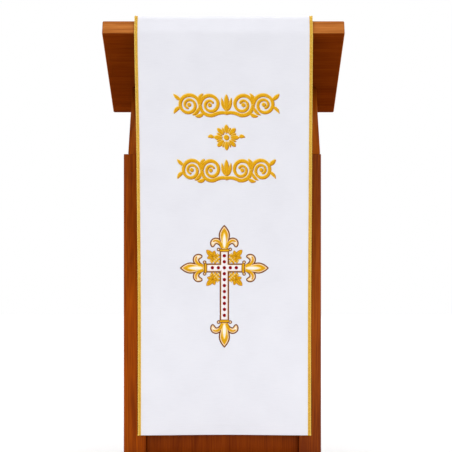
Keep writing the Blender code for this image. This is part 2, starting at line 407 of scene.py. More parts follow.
def path_corners():
    """The corners of the cloth's side view and the radius of each bend, from front hem to rear."""
    rest_y = BODY_FRONT - BODY_CLEARANCE
    rear_y = DESK_REAR_CORNER.y + CORNER_CLEARANCE
    fold = DESK_TOP_CORNER - DESK_ALONG * FOLD_RISE + DESK_NORMAL * FOLD_RISE
    settled = DESK_TOP_CORNER + DESK_ALONG * FOLD_LENGTH + DESK_NORMAL * DESK_CLEARANCE
    lifting = DESK_REAR_CORNER - DESK_ALONG * FOLD_LENGTH + DESK_NORMAL * DESK_CLEARANCE
    turn_height = DESK_REAR_CORNER.z + CORNER_CLEARANCE * (1 / SLOPE_RUN - math.tan(DESK_SLOPE))
    return [
        (Vector((0, rest_y, FRONT_HEM_HEIGHT)), 0),
        (Vector((0, rest_y, REST_HEIGHT)), BEND_RADIUS["waist"]),
        (DESK_LOW_CORNER - Vector((0, CORNER_CLEARANCE, 0)), BEND_RADIUS["under_desk"]),
        (fold, BEND_RADIUS["fold"]),
        (settled, BEND_RADIUS["on_desk"]),
        (lifting, BEND_RADIUS["on_desk"]),
        (Vector((0, rear_y, turn_height)), BEND_RADIUS["rear"]),
        (Vector((0, rear_y, 0)), 0),
    ]


def bend_places(before, corner, after, radius):
    """Points of the arc that rounds one corner of the path."""
    arriving = (corner - before).normalized()
    leaving = (after - corner).normalized()
    turn = arriving.angle(leaving)
    start = corner - arriving * radius * math.tan(turn / 2)
    inward = (leaving - arriving * arriving.dot(leaving)).normalized()
    steps = max(2, math.ceil(turn / ARC_STEP))
    angles = [turn * step / steps for step in range(steps + 1)]
    return [start + arriving * radius * math.sin(a) + inward * radius * (1 - math.cos(a)) for a in angles]


def side_view():
    """The path as an array of (y, z)."""
    corners = path_corners()
    places = [corners[0][0]]
    for (before, _), (corner, radius), (after, _) in zip(corners, corners[1:], corners[2:]):
        places += bend_places(before, corner, after, radius)
    places.append(corners[-1][0])
    return np.array([(place.y, place.z) for place in places])


path = side_view()
steps_along = np.diff(path, axis=0)
step_lengths = np.hypot(*steps_along.T)
reach = np.concatenate([[0], np.cumsum(step_lengths)])
headings = steps_along / step_lengths[:, None]
tangents = np.vstack([headings[:1], headings[:-1] + headings[1:], headings[-1:]])
tangents /= np.hypot(*tangents.T)[:, None]
normals = np.column_stack([-tangents[:, 1], tangents[:, 0]])
desk_edge_reach = float(reach[np.argmax(path[:, 1] > DESK_LOW_CORNER.z)])
rear_reach = float(reach[np.argmax(path[:, 0] > DESK_REAR_CORNER.y)])
print("the cloth reaches the desk and leaves it at", round(desk_edge_reach, 3), round(rear_reach, 3))

# %% The unevenness of real cloth
CREASE = {"at_side": 0.62, "top": 1.262, "length": 0.16, "lean": -0.14, "width": 0.07, "depth": 1.6 * MM}


def smooth_step(value, low, high):
    """0 below low, 1 above high, and a smooth rise between them."""
    share = np.clip((value - low) / (high - low), 0, 1)
    return share * share * (3 - 2 * share)


def swell(side, height):
    """A few shallow swells in the part that hangs free, always away from the wood."""
    broad = 0.5 + 0.5 * np.sin(2.1 * side + 7.0 * height + 0.6)
    narrow = 0.5 + 0.5 * np.sin(5.3 * side - 4.0 * height + 2.0)
    return 1.1 * MM * broad + 0.5 * MM * narrow


def soft_dent(side, height, at_side, top, length, lean, width, depth):
    """A shallow crease that runs down from the desk's edge."""
    down = np.clip((top - height) / length, 0, 1)
    centre = at_side + lean * down
    return -depth * np.exp(-(((side - centre) / width) ** 2)) * np.sin(math.pi * down)


def front_shift(side, height):
    """How far the front of the cloth has moved across, at a side and a height."""
    low = 1 - smooth_step(height, REST_HEIGHT, DESK_LOW_CORNER.z)
    under_desk = 1 - smooth_step(height, DESK_LOW_CORNER.z - SLIP_DEPTH, DESK_LOW_CORNER.z)
    return FRONT_SKEW * low + EDGE_SLIP * under_desk * (1 - side) / 2


print("swell at chest height, in mm:", round(float(swell(0, 1.0)) / MM, 2))

# %% Hang a flat piece


def hang(flat):
    """Moves an array of flat (x, y, z) places to where they hang."""
    across, along, lift = flat.T
    along_in = np.clip(along, 0, CLOTH_LENGTH)
    base_y = np.interp(along_in, reach, path[:, 0])
    base_z = np.interp(along_in, reach, path[:, 1]) - (along_in - along) * (along < 0)
    out_y = np.interp(along_in, reach, normals[:, 0])
    out_z = np.interp(along_in, reach, normals[:, 1])
    side = across / (CLOTH_WIDTH / 2)
    middle = np.clip(1 - (side / STILE_REACH) ** 2, 0, 1) ** 2
    front = along < desk_edge_reach
    rear = along > rear_reach
    waist = np.sin(math.pi * smooth_step(base_z, REST_HEIGHT, DESK_LOW_CORNER.z))
    bow = FRONT_BOW * middle * (1 - smooth_step(base_z, 0.2, 0.8))
    sway = FRONT_SWAY * waist * np.sin(2.5 * side + 0.7) * middle
    ripple = swell(side, base_z) * waist * (1 - side**2)
    crease = soft_dent(side, base_z, **CREASE)
    free = 1 - smooth_step(base_z, 0.3, DESK_REAR_CORNER.z)
    rear_sway = REAR_SWAY * free * (1 + np.cos(math.pi * (side + 0.25))) / 2
    ripples = np.sin(5.2 * side + 1.5 * base_z + 0.9) + 0.4 * np.sin(11 * side - 2 * base_z)
    rear_wave = REAR_WAVE * free * ripples
    x = CLOTH_SHIFT + across + front * front_shift(side, base_z)
    y = base_y + out_y * lift + front * (bow - sway - ripple - crease) - rear * (rear_sway - rear_wave)
    z = base_z + out_z * lift
    return np.column_stack([x, y, z])


def hang_piece(item):
    """Hangs a piece that was modelled flat."""
    places = np.empty(len(item.data.vertices) * 3)
    item.data.vertices.foreach_get("co", places)
    item.data.vertices.foreach_set("co", hang(places.reshape(-1, 3)).ravel())
    item.data.update()
    return item


print("the middle of the front hem hangs at", hang(np.zeros((1, 3)))[0].round(3))

# %% [markdown]
# ## The white cloth
#
# The band is a grid with a column every 7 mm. Its rows are close together where the
# cloth bends over the desk's edges and where it is hemmed, and wide apart elsewhere. The
# grid is extruded to a second layer, and the two layers are set apart by the cloth's
# thickness. The hem is cloth folded to the back, so the back layer drops there, and the
# row of stitches pulls a shallow furrow into the face.

# %% The rows of the band
WIDE_ROWS = 330
BEND_ROW = 2.2 * MM
LEAST_ROW = 0.12 * MM


def band_rows():
    """Where the rows of the band lie along it."""
    wide = np.linspace(0, CLOTH_LENGTH, WIDE_ROWS)
    bends = [np.arange(start - 0.02, start + 0.10, BEND_ROW) for start in (desk_edge_reach, rear_reach)]
    hem = np.array([0, 0.15, 0.4, 0.8, 1.3, 2.0, 26, 27.2, 28, 28.8, 30, 30.8, 31.6]) * MM
    rows = np.unique(np.concatenate([wide, *bends, hem, CLOTH_LENGTH - hem]).round(5))
    return rows[np.concatenate([[True], np.diff(rows) > LEAST_ROW])]


def ribbon(columns, width, middle=0.0):
    """A flat strip with the band's rows, extruded to a second layer, and that layer's verts."""
    builder = bmesh.new()
    bmesh.ops.create_grid(builder, x_segments=columns, y_segments=len(rows) - 1, size=0.5)
    for vert in builder.verts:
        row = rows[round((vert.co.y + 0.5) * (len(rows) - 1))]
        vert.co = (middle + vert.co.x * width, row, 0)
    grown = bmesh.ops.extrude_face_region(builder, geom=builder.faces[:])["geom"]
    return builder, {part for part in grown if isinstance(part, bmesh.types.BMVert)}


rows = band_rows()
print("rows of the band:", len(rows))

# %% The band, with a hem at each end
CLOTH_HALF = 0.7 * MM
HEM_FOLD = 0.7 * MM
HEM_DEPTH = 0.030
STITCH_LINE = 28 * MM
FURROW = 0.30 * MM
BAND_WIDTH = CLOTH_WIDTH - 2 * EDGING_WIDTH + 1.0 * MM
BAND_COLUMNS = 68


def hem_shape(distance):
    """How thick the face and the back are at a distance from the hem's fold."""
    fold_round = math.sqrt(max(0.02, 1 - (1 - min(1.0, distance / (1.3 * MM))) ** 2))
    furrow = FURROW * math.exp(-(((distance - STITCH_LINE) / (0.7 * MM)) ** 2))
    folded = 1 - float(smooth_step(distance, HEM_DEPTH, HEM_DEPTH + 1.2 * MM))
    return (CLOTH_HALF - furrow) * fold_round, -(CLOTH_HALF + HEM_FOLD * folded - furrow) * fold_round


def write_map(builder, faces, place_of):
    """A UV map in metres, as the piece lay flat, so that a weave can be given its real size."""
    layer = builder.loops.layers.uv.get("flat") or builder.loops.layers.uv.new("flat")
    for face in faces:
        for corner in face.loops:
            corner[layer].uv = place_of(corner.vert)


band, face_verts = ribbon(BAND_COLUMNS, BAND_WIDTH)
for vert in band.verts:
    face_height, back_height = hem_shape(min(vert.co.y, CLOTH_LENGTH - vert.co.y))
    vert.co.z = face_height if vert in face_verts else back_height
write_map(band, band.faces, lambda vert: vert.co.xy)
print("faces of the band:", len(band.faces))

# %% [markdown]
# ## The weave
#
# The cloth is a bright white polyester in a fine plain weave, about two threads in each
# millimetre. That is far too fine for this picture, so the weave is drawn at 1.2 mm,
# where it shows as a fine tooth when the camera comes close. The yarn is a little
# uneven, which gives thin faint slubs, and a large soft mottle keeps the white from
# looking like paper. Woven polyester is matt with a trace of sheen.

# %% White weave
THREAD_PITCH = 1.2 * MM
WEAVE_STOPS = [(0.30, "#e0e0e7"), (0.52, "#e4e4eb"), (0.74, "#e7e7ed")]


def wave_scale(pitch):
    """The scale at which Blender's banded wave repeats once in each pitch, in metres."""
    return math.pi / 10 / pitch


def white_weave():
    material, shader = new_material(
        "white_polyester_plain_weave",
        Roughness=0.82,
        Sheen_Weight=0.12,
        Sheen_Roughness=0.45,
        Specular_IOR_Level=0.25,
    )
    flat = add_node(material, "ShaderNodeUVMap", {"uv_map": "flat"})
    wave = {"Scale": wave_scale(THREAD_PITCH), "Distortion": 0.35, "Detail": 1.0}
    yarns = []
    for axis in ("X", "Y"):
        across = {"wave_type": "BANDS", "bands_direction": axis}
        yarns.append(add_node(material, "ShaderNodeTexWave", across, "Fac", Vector=flat, **wave))
    crossing = add_node(material, "ShaderNodeMath", {"operation": "MULTIPLY"}, _0=yarns[0], _1=yarns[1])
    slub_place = add_node(material, "ShaderNodeMapping", Vector=flat, Scale=(30, 900, 1))
    slubs = add_node(material, "ShaderNodeTexNoise", Vector=slub_place, Scale=1.0, Detail=3.0)
    mottle = add_node(material, "ShaderNodeTexNoise", Vector=flat, Scale=11.0, Detail=2.0, Roughness=0.45)
    shade = add_node(material, "ShaderNodeMix", _0=0.5, _2=slubs, _3=mottle)
    tooth = add_node(material, "ShaderNodeMix", _0=0.25, _2=crossing, _3=slubs)
    finish_surface(material, shader, shade, WEAVE_STOPS, tooth, 0.6, 0.2 * MM)
    return material


cloth_finish = white_weave()
cloth = hang_piece(finish_piece("cloth_band", band, cloth_finish, "cloth"))
smooth_by_angle(cloth, 50)
print("cloth box:", [round(v, 3) for v in cloth.dimensions])

# %% [markdown]
# ## Thread, cord and braid
#
# The edging is a bright twisted cord with a flat braid beside it, both of metallised
# yarn. Satin stitch, which fills the embroidery, is many parallel strands of rayon laid
# tight across each shape. All of them shine along one direction, look darker where
# they turn away from the light, and show each strand as a fine line.
#
# One recipe serves them all. The strands are a banded wave on the piece's own UV map,
# which runs across the strands, and the colour drifts a little from strand to strand.
# Real strands are 0.4 mm apart. They are drawn at twice that, so that they show.

# %% Thread
STRAND_PITCH = 0.8 * MM
YARN_PITCH = 0.9 * MM


def thread(name, dark, middle, light, pitch=STRAND_PITCH, roughness=0.42):
    """Twisted or laid yarn. The UV map's second axis crosses the strands, in metres."""
    material, shader = new_material(
        name, Roughness=roughness, Specular_IOR_Level=0.35, Specular_Tint=hex_colour(light)
    )
    flat = add_node(material, "ShaderNodeUVMap", {"uv_map": "flat"})
    across = {"wave_type": "BANDS", "bands_direction": "Y"}
    wave = {"Scale": wave_scale(pitch), "Distortion": 0.6, "Detail": 1.0}
    strands = add_node(material, "ShaderNodeTexWave", across, "Fac", Vector=flat, **wave)
    drift_place = add_node(material, "ShaderNodeMapping", Vector=flat, Scale=(60, 0.7 / pitch, 1))
    drift = add_node(material, "ShaderNodeTexNoise", Vector=drift_place, Scale=1.0, Detail=2.0)
    shade = add_node(material, "ShaderNodeMix", _0=0.55, _2=strands, _3=drift)
    stops = zip((0.22, 0.50, 0.78), (dark, middle, light))
    finish_surface(material, shader, shade, stops, strands, 0.45, 0.15 * MM)
    return material


gold_cord = thread("bright_gold_cord", "#dc9e22", "#fed450", "#fff09c", YARN_PITCH, 0.35)
gold_braid = thread("yellow_gold_braid", "#ba861e", "#eabb40", "#ffdf70", YARN_PITCH)
white_thread = thread("white_sewing_thread", "#dcdce2", "#ededf2", "#f6f6fa", roughness=0.6)
print("strands drawn in each 10 mm:", round(0.010 / STRAND_PITCH, 1))

# %% [markdown]
# ## The gold edging
#
# A cord is a pattern that repeats, so one turn of its two strands is modelled once: a
# small circle is spun round the cord's middle while it moves along. An Array modifier
# then lays 278 of these turns end to end, flat, and the whole length is hung like the
# cloth. The braid is made the same way from one pair of slanted stitches on a tape.

# %% Helpers for yarn
YARN_SLANT = 0.6
WELD_DISTANCE = 0.02 * MM


def map_yarn(builder):
    """A UV map for yarn: the second axis is the place along the piece, a little slanted."""
    write_map(builder, builder.faces, lambda vert: (vert.co.x, vert.co.y + YARN_SLANT * vert.co.x))


def sew_on(name, builder, material):
    """Maps and hangs a flat piece of yarn."""
    map_yarn(builder)
    return hang_piece(finish_piece(name, builder, material))


def repeated(name, builder, material, count, pitch):
    """One repeat laid end to end along y, its meeting ends welded and its two outer ends closed."""
    item = finish_piece(name, builder, material)
    array = item.modifiers.new("repeats", "ARRAY")
    array.count = count
    array.use_relative_offset = False
    array.use_constant_offset = True
    array.constant_offset_displace = (0, pitch, 0)
    array.use_merge_vertices = True
    array.merge_threshold = WELD_DISTANCE
    evaluated = item.evaluated_get(bpy.context.evaluated_depsgraph_get())
    laid = bpy.data.meshes.new_from_object(evaluated)
    item.modifiers.clear()
    item.data = laid
    whole = bmesh.new()
    whole.from_mesh(laid)
    bmesh.ops.holes_fill(whole, edges=[edge for edge in whole.edges if edge.is_boundary], sides=0)
    bmesh.ops.recalc_face_normals(whole, faces=whole.faces)
    map_yarn(whole)
    whole.to_mesh(laid)
    whole.free()
    laid.shade_smooth()
    return item


# %% Cord
CORD_RADIUS = 2.35 * MM
CORD_MIDDLE = CLOTH_WIDTH / 2 - CORD_RADIUS
CORD_LIFT = 1.1 * MM
STRAND_RADIUS = 1.25 * MM
STRAND_SIDES = 7
CORD_TURNS = 278
CORD_STEPS = 10


def cord(name, side, replaced):
    """Two strands, each a small circle that is swung round the cord's middle for one turn."""
    pitch = CLOTH_LENGTH / CORD_TURNS
    middle = Vector((side * CORD_MIDDLE, 0, CORD_LIFT))
    offset = Matrix.Translation((CORD_RADIUS - STRAND_RADIUS, 0, 0))
    builder = bmesh.new()
    for start in (0, math.pi):
        place = Matrix.Translation(middle) @ Matrix.Rotation(start, 4, "Y") @ offset
        ring = bmesh.ops.create_circle(
            builder,
            segments=STRAND_SIDES,
            radius=STRAND_RADIUS,
            matrix=place @ Matrix.Rotation(math.pi / 2, 4, "X"),
        )["verts"]
        edges = list({edge for vert in ring for edge in vert.link_edges})
        bmesh.ops.spin(
            builder,
            geom=ring + edges,
            cent=middle,
            axis=(0, 1, 0),
            dvec=(0, pitch / CORD_STEPS, 0),
            angle=2 * math.pi,
            steps=CORD_STEPS,
        )
    item = repeated(name, builder, gold_cord, CORD_TURNS, pitch)
    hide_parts(replaced)
    return hang_piece(item)


cord_left = cord("cord_left", -1, "piping_left")
cord_right = cord("cord_right", 1, "piping_right")
print("faces in a cord:", len(cord_left.data.polygons))

# %% Braid
BRAID_PITCH = 2.1 * MM
BRAID_WIDTH = EDGING_WIDTH - 2 * CORD_RADIUS + 0.9 * MM
BRAID_MIDDLE = CLOTH_WIDTH / 2 - 2 * CORD_RADIUS - BRAID_WIDTH / 2 + 0.5 * MM
BRAID_RISE = 0.75 * MM
BRAID_SLANT = math.radians(32)
TAPE_WIDTH = BRAID_WIDTH * 1.05
TAPE_BACK = CLOTH_HALF + 0.1 * MM
SIDES = (("left", -1), ("right", 1))


def add_bead(builder, middle, halves, around, rings, turn=0.0):
    """An ellipsoid, for one stitch or one whipped end."""
    size = Matrix.Rotation(turn, 4, "Z") @ Matrix.Diagonal((*halves, 1))
    place = Matrix.Translation(middle) @ size
    bmesh.ops.create_uvsphere(builder, u_segments=around, v_segments=rings, radius=1, matrix=place)


def braid(name, side):
    count = round(CLOTH_LENGTH / BRAID_PITCH)
    halves = (BRAID_WIDTH * 0.34, BRAID_PITCH * 0.42, BRAID_RISE)
    builder = bmesh.new()
    for half in (-1, 1):
        x = side * BRAID_MIDDLE + half * BRAID_WIDTH * 0.24
        middle = (x, BRAID_PITCH / 2, CLOTH_HALF + BRAID_RISE)
        add_bead(builder, middle, halves, 8, 4, half * BRAID_SLANT)
    return hang_piece(repeated(name, builder, gold_braid, count, CLOTH_LENGTH / count))


def tape(name, side):
    """The flat tape that the braid's stitches are worked on."""
    builder, upper = ribbon(1, TAPE_WIDTH, side * BRAID_MIDDLE)
    for vert in builder.verts:
        vert.co.z = CLOTH_HALF + BRAID_RISE if vert in upper else -TAPE_BACK
    return sew_on(name, builder, gold_braid)


for side_name, side in SIDES:
    braid(f"braid_{side_name}", side)
    tape(f"tape_{side_name}", side)

# %% Whipped ends of the cords
END_INSET = 1.6 * MM
END_HALVES = (CORD_RADIUS * 1.08, 2.4 * MM, CORD_RADIUS)


def cord_end(name, side, along):
    builder = bmesh.new()
    add_bead(builder, (side * CORD_MIDDLE, along, CORD_LIFT), END_HALVES, 14, 10)
    return sew_on(name, builder, gold_cord)


for side_name, side in SIDES:
    for end_name, along in (("front", END_INSET), ("rear", CLOTH_LENGTH - END_INSET)):
        cord_end(f"cord_end_{end_name}_{side_name}", side, along)

# %% [markdown]
# ## The hem's stitches
#
# Both ends of the cloth are folded to the back and sewn down with a row of short
# stitches, 28 mm from the fold. Each stitch is a small pulled-in ellipsoid that sits in
# the furrow of the face.

# %% Hem stitches
STITCH_PITCH = 3.6 * MM
STITCH_HALVES = (1.3 * MM, 0.35 * MM, 0.35 * MM)
STITCH_HEIGHT = CLOTH_HALF - FURROW + 0.12 * MM


def hem_stitches(name, along):
    count = int((CLOTH_WIDTH - 2 * EDGING_WIDTH) / STITCH_PITCH)
    builder = bmesh.new()
    for number in range(count):
        x = (number - (count - 1) / 2) * STITCH_PITCH
        add_bead(builder, (x, along, STITCH_HEIGHT), STITCH_HALVES, 6, 4)
    print("stitches in a hem:", count)
    return sew_on(name, builder, white_thread)


stitches = [
    hem_stitches("hem_stitches_front", STITCH_LINE),
    hem_stitches("hem_stitches_rear", CLOTH_LENGTH - STITCH_LINE),
]

# %% [markdown]
# ## Satin stitch
#
# Every raised shape of the embroidery follows a line and has a half width that changes
# along it. A petal, a stem, a bar, a dot and a lobe of a leaf are all such strokes. So
# one function makes them all: it takes a flat grid, extrudes it to a second layer, lays
# both along the line and lifts the upper one to a low cushion.
#
# An embroidered petal is a stack: a brown outline, a cream rim on it, and a gold field on
# that. Each layer is the same stroke drawn smaller by an even rim. To shrink a stroke
# evenly, a disc as wide as the rim is rolled round the inside of its edge, which is what
# `shrink` works out at each place along the line. The plain gold shapes are padded higher,
# over a light stroke moved up and to the left and a dark one moved down and to the right:
# a painted highlight on the upper left edge and painted shade on the lower right one.

# %% Lines, in millimetres


def straight(start, end):
    return lambda share: tuple(s + (e - s) * share for s, e in zip(start, end))


def bent(a, b, c, d):
    """A cubic curve from a to d that leaves towards b and arrives from c."""

    def line(share):
        rest = 1 - share
        weights = (rest**3, 3 * rest * rest * share, 3 * rest * share * share, share**3)
        return tuple(sum(w * point[axis] for w, point in zip(weights, (a, b, c, d))) for axis in (0, 1))

    return line


def spiral(centre, outer, inner, start, turns):
    """A line that winds in from the outer radius to the inner one, clockwise if turns is negative."""

    def line(share):
        radius = outer + (inner - outer) * share
        angle = np.radians(start) + 2 * math.pi * turns * share
        return centre[0] + radius * np.cos(angle), centre[1] + radius * np.sin(angle)

    return line


print("the middle of a straight line:", straight((0, 0), (10, 4))(0.5))

# %% Half widths, in millimetres


def even(half):
    """A bar with square ends."""
    return lambda share: np.full_like(share, half)


def rounded(half, length):
    """A bar with round ends, for a line of the given length."""

    def width(share):
        into_end = np.clip(half - length * np.minimum(share, 1 - share), 0, None)
        return np.sqrt(np.clip(half**2 - into_end**2, 0, None))

    return width


def disc(radius):
    """A circle, for a line as long as its diameter."""
    return lambda share: radius * np.sqrt(np.clip(1 - (2 * share - 1) ** 2, 0, None))


def leaf(half, fullest=0.5, point=0.8):
    """Nothing at both ends, widest at the share called fullest."""

    def width(share):
        rising = np.sin(math.pi / 2 * np.clip(share / fullest, 0, 1))
        falling = np.cos(math.pi / 2 * np.clip((share - fullest) / (1 - fullest), 0, 1))
        return half * np.where(share < fullest, rising, falling) ** point

    return width


def stem(start, end):
    """A stem that thins evenly from its foot and has a round tip."""
    return lambda share: (start + (end - start) * share) * np.sqrt(np.clip((1 - share) / 0.03, 0, 1))


print("half width of a leaf, from end to end:", leaf(5.0)(np.linspace(0, 1, 5)).round(2))

# %% A stroke and its even rim
SAMPLES = 160


def stroke(line, half, at=(0, 0), turn=0.0, mirror=1):
    """Samples of a line and its half width, put in place."""
    share = np.linspace(0, 1, SAMPLES + 1)
    x, y = line(share)
    x = x * mirror
    cosine, sine = math.cos(turn), math.sin(turn)
    places = np.column_stack([at[0] + x * cosine - y * sine, at[1] + x * sine + y * cosine])
    return places, half(share)


def shrink(along, half, rim):
    """The half width at each place after an even rim is taken off the whole edge, the ends too."""
    known_along = np.concatenate([along[:1] - 1e-6, along, along[-1:] + 1e-6])
    known_half = np.concatenate([[0], half, [0]])
    gap = np.abs(along[:, None] - known_along[None, :])
    bite = np.sqrt(np.clip(rim**2 - gap**2, 0, None))
    return np.where(gap <= rim, known_half[None, :] - bite, np.inf).min(axis=1)


# %% From a stroke to a cushion of stitches, in millimetres until it is placed
LAYER_RISE = 0.38
LAYER_LIFT = 0.02
CROWN = 0.42
HIGH_CROWN = 1.5
SUNK = 0.25
ROW_LENGTH = 1.2
FEWEST_ROWS = 14
SATIN_COLUMNS = 6
LEAST_HALF = 0.1
FULL_HALF = 2.0


def add_satin(builder, places, half, rim=0.0, layer=0, crown=CROWN):
    """Adds one cushion of stitches: the stroke less its rim, on top of the layers under it.

    A low one has a flat top for the next layer to lie on. A high one is round right across.
    """
    along = np.concatenate([[0], np.cumsum(np.hypot(*np.diff(places, axis=0).T))])
    half = shrink(along, half, rim) if rim else half
    wide = np.flatnonzero(half > LEAST_HALF)
    if len(wide) < 2:
        return
    low, high = along[wide[0]], along[wide[-1]]
    count = max(FEWEST_ROWS, round((high - low) / ROW_LENGTH))
    grid = bmesh.ops.create_grid(builder, x_segments=SATIN_COLUMNS, y_segments=count, size=0.5)["verts"]
    base = list({face for vert in grid for face in vert.link_faces})
    grown = bmesh.ops.extrude_face_region(builder, geom=base)["geom"]
    upper = [part for part in grown if isinstance(part, bmesh.types.BMVert)]
    verts = grid + upper
    across = np.array([vert.co.x for vert in verts]) * 2
    share = np.array([vert.co.y for vert in verts]) + 0.5
    at = low + (high - low) * (share + 0.5 * (1 - np.cos(math.pi * share))) / 2
    heading = np.gradient(places, along, axis=0)
    heading /= np.hypot(*heading.T)[:, None]
    step_x, step_y = np.interp(at, along, heading[:, 0]), np.interp(at, along, heading[:, 1])
    width = np.interp(at, along, half)
    x = np.interp(at, along, places[:, 0]) + step_y * width * across
    y = np.interp(at, along, places[:, 1]) - step_x * width * across
    roundness = 2 if crown > CROWN else 4
    cushion = np.sqrt(1 - np.abs(across) ** roundness) * np.clip(width / FULL_HALF, 0, 1) ** 0.5
    lifted = layer * LAYER_RISE + crown * cushion
    height = np.where(np.arange(len(verts)) < len(grid), -SUNK, lifted + LAYER_LIFT)
    for vert, place in zip(verts, np.column_stack([x, y, height]) * MM):
        vert.co = (place[0], place[1], CLOTH_HALF + place[2])
    flat_place = dict(zip(verts, zip(across * width * MM, at * MM)))
    write_map(builder, {face for vert in verts for face in vert.link_faces}, flat_place.get)


print("a plain gold stroke rises", round(2 * LAYER_RISE + HIGH_CROWN, 2), "mm over the cloth")

# %% Colours of the embroidery
THREADS = {
    "brown": thread("brown_outline_stitch", "#54280a", "#7a3f12", "#945628"),
    "amber": thread("amber_satin_stitch", "#8e5602", "#b67606", "#cc8c14"),
    "cream": thread("cream_satin_stitch", "#eec386", "#fad9a6", "#ffeac6"),
    "pale": thread("pale_satin_stitch", "#ece4d4", "#f6f0e4", "#fdf9f0"),
    "gold": thread("gold_satin_stitch", "#b97c04", "#de9e0a", "#f8c434"),
    "lemon": thread("lemon_satin_stitch", "#e8b838", "#fcd65c", "#ffe88c"),
    "white": thread("white_satin_stitch", "#e8dee0", "#f6eeef", "#fdf8f8"),
    "red": thread("red_satin_stitch", "#5c0008", "#8a0410", "#aa101c", roughness=0.38),
}
print("colours of thread:", len(THREADS))

# %% A motif and its place on the cloth
# How far the painted highlight and the painted shade show at the gold's edges.
PAINTED_LIGHT_EDGE = 0.9


class Embroidery:
    """A motif with one bmesh for each colour of thread, so that each colour becomes one piece."""

    def __init__(self, name):
        self.name = name
        self.builders = {}

    def add(self, colour, shape, rim=0.0, layer=0, crown=CROWN):
        if colour not in self.builders:
            self.builders[colour] = bmesh.new()
        add_satin(self.builders[colour], *shape, rim=rim, layer=layer, crown=crown)

    def nest(self, shape, rims, layer=0, crown=CROWN):
        """The same stroke once for each (colour, rim), every one on top of the one before."""
        for number, (colour, rim) in enumerate(rims):
            is_last = number == len(rims) - 1
            self.add(colour, shape, rim, layer + number, crown if is_last else CROWN)

    def raise_gold_with_painted_light(self, line, half, layer=0, **place):
        """Padded gold with a painted highlight, a lighter thread along its upper left edge, and painted
        shade, a darker one opposite.
        """
        places, widths = stroke(line, half, **place)
        # Painted highlight and painted shade: the lemon stroke is moved up and left, the amber one down
        # and right.
        layers = (("amber", PAINTED_LIGHT_EDGE, 0), ("lemon", -PAINTED_LIGHT_EDGE, 0), ("gold", 0, PAINTED_LIGHT_EDGE))
        for number, (colour, painted_light_shift, rim) in enumerate(layers):
            shape = (places + (painted_light_shift, -painted_light_shift), widths)
            self.add(colour, shape, rim, layer + number, HIGH_CROWN if colour == "gold" else CROWN)

    def finish(self, centre):
        """Moves the motif to its place on the flat cloth and hangs each colour."""
        made = []
        for colour, builder in self.builders.items():
            bmesh.ops.translate(builder, verts=builder.verts, vec=(*centre, 0))
            made.append(hang_piece(finish_piece(f"{self.name}_{colour}", builder, THREADS[colour])))
        print(self.name, {piece.name: len(piece.data.polygons) for piece in made})
        return made


def place_on_front(x, z):
    """The flat place, in metres, that hangs at x and z on the front of the cloth."""
    front = reach < rear_reach
    falling = path[:, 1][front].argmax() + 1
    along = float(np.interp(z, path[:falling, 1], reach[:falling]))
    return x - CLOTH_SHIFT - float(front_shift(0, z)), along


# %% [markdown]
# ## The cross
#
# This is the long Latin cross of church textiles, with a lily at the end of each arm. It
# is built from its own simple measures, from the middle of the crossing: two bars with a
# white field and a line of red dots, then a collar, two knobs, one upright petal and two
# curling ones at each end. Both bars' brown strokes come first and both white fields lie
# on top of them, so the outline opens by itself where the bars cross.

# %% Bars and dots
CROSS_X = 0.0026
CROSS_Z = 0.6052
ARM_TOP = 49.9
ARM_SIDE = 54.1
ARM_FOOT = 154.4
BAR_LOW = -1.0
OUTLINE = 3.8
BAR_RIMS = [("brown", 0), ("cream", OUTLINE), ("white", OUTLINE + 1.3)]
cross = Embroidery("cross")
upright_bar = stroke(straight((0, -ARM_FOOT), (0, ARM_TOP)), even(13.6))
level_bar = stroke(straight((-ARM_SIDE, BAR_LOW), (ARM_SIDE, BAR_LOW)), even(13.1))
for bar in (upright_bar, level_bar):
    cross.nest(bar, BAR_RIMS)

DOT_RADIUS = 4.9
DOT_PITCH = 17.2
dots = [(0, DOT_PITCH * number) for number in range(-8, 3)]
dots += [(DOT_PITCH * number, 0) for number in (-2, -1, 1, 2)]
for x, y in dots:
    dot = stroke(straight((x, y - DOT_RADIUS), (x, y + DOT_RADIUS)), disc(DOT_RADIUS))
    cross.add("red", dot, layer=3, crown=1.2)
print("dots on the bars:", len(dots))

# %% A lily for the end of each arm


def upright_width(share):
    """Half width of the upright petal: a waist at the collar, a belly and a point."""
    swelling = 11.0 + 5.2 * smooth_step(share, 0.1, 0.6)
    closing = np.cos(math.pi / 2 * np.clip((share - 0.58) / 0.42, 0, 1)) ** 0.85
    return swelling * closing


def curl_width(share):
    """Half width of a curling petal: it swells from the stem and ends in a round lobe."""
    swelling = 5.0 + 4.7 * np.sin(math.pi / 2 * np.clip(share / 0.62, 0, 1))
    return swelling * np.sqrt(np.clip(1 - np.clip((share - 0.70) / 0.30, 0, 1) ** 2.2, 0, None))


def lily(at, turn, length):
    for mirror in (-1, 1):
        curl = stroke(bent((5, 5), (9, 31), (37, 37), (33, 8)), curl_width, at, turn, mirror)
        cross.nest(curl, [("brown", 0), ("cream", 3.5), ("pale", 6.9)])
        vein = stroke(bent((6, 6), (9, 26), (25, 33), (32.5, 24)), stem(4.6, 2.0), at, turn, mirror)
        cross.add("gold", vein, layer=3, crown=0.9)
    upright = stroke(straight((0, 1), (0, length)), upright_width, at, turn)
    cross.nest(upright, [("brown", 0), ("cream", 3.5), ("gold", 6.1)], layer=1, crown=0.9)
    heart = stroke(straight((0, 4.4), (0, 52)), leaf(6.9, 0.42, 0.6), at, turn)
    cross.nest(heart, [("lemon", 0), ("pale", 2.5)], layer=6)
    for mirror in (-1, 1):
        knob = stroke(straight((11.6, 2.6), (22.0, 2.6)), disc(5.2), at, turn, mirror)
        cross.nest(knob, [("brown", 0), ("cream", 2.8)], layer=1)
    collar = stroke(straight((-15, 0), (15, 0)), rounded(4.3, 30), at, turn)
    cross.nest(collar, [("brown", 0), ("gold", 1.4)], layer=4, crown=1.2)


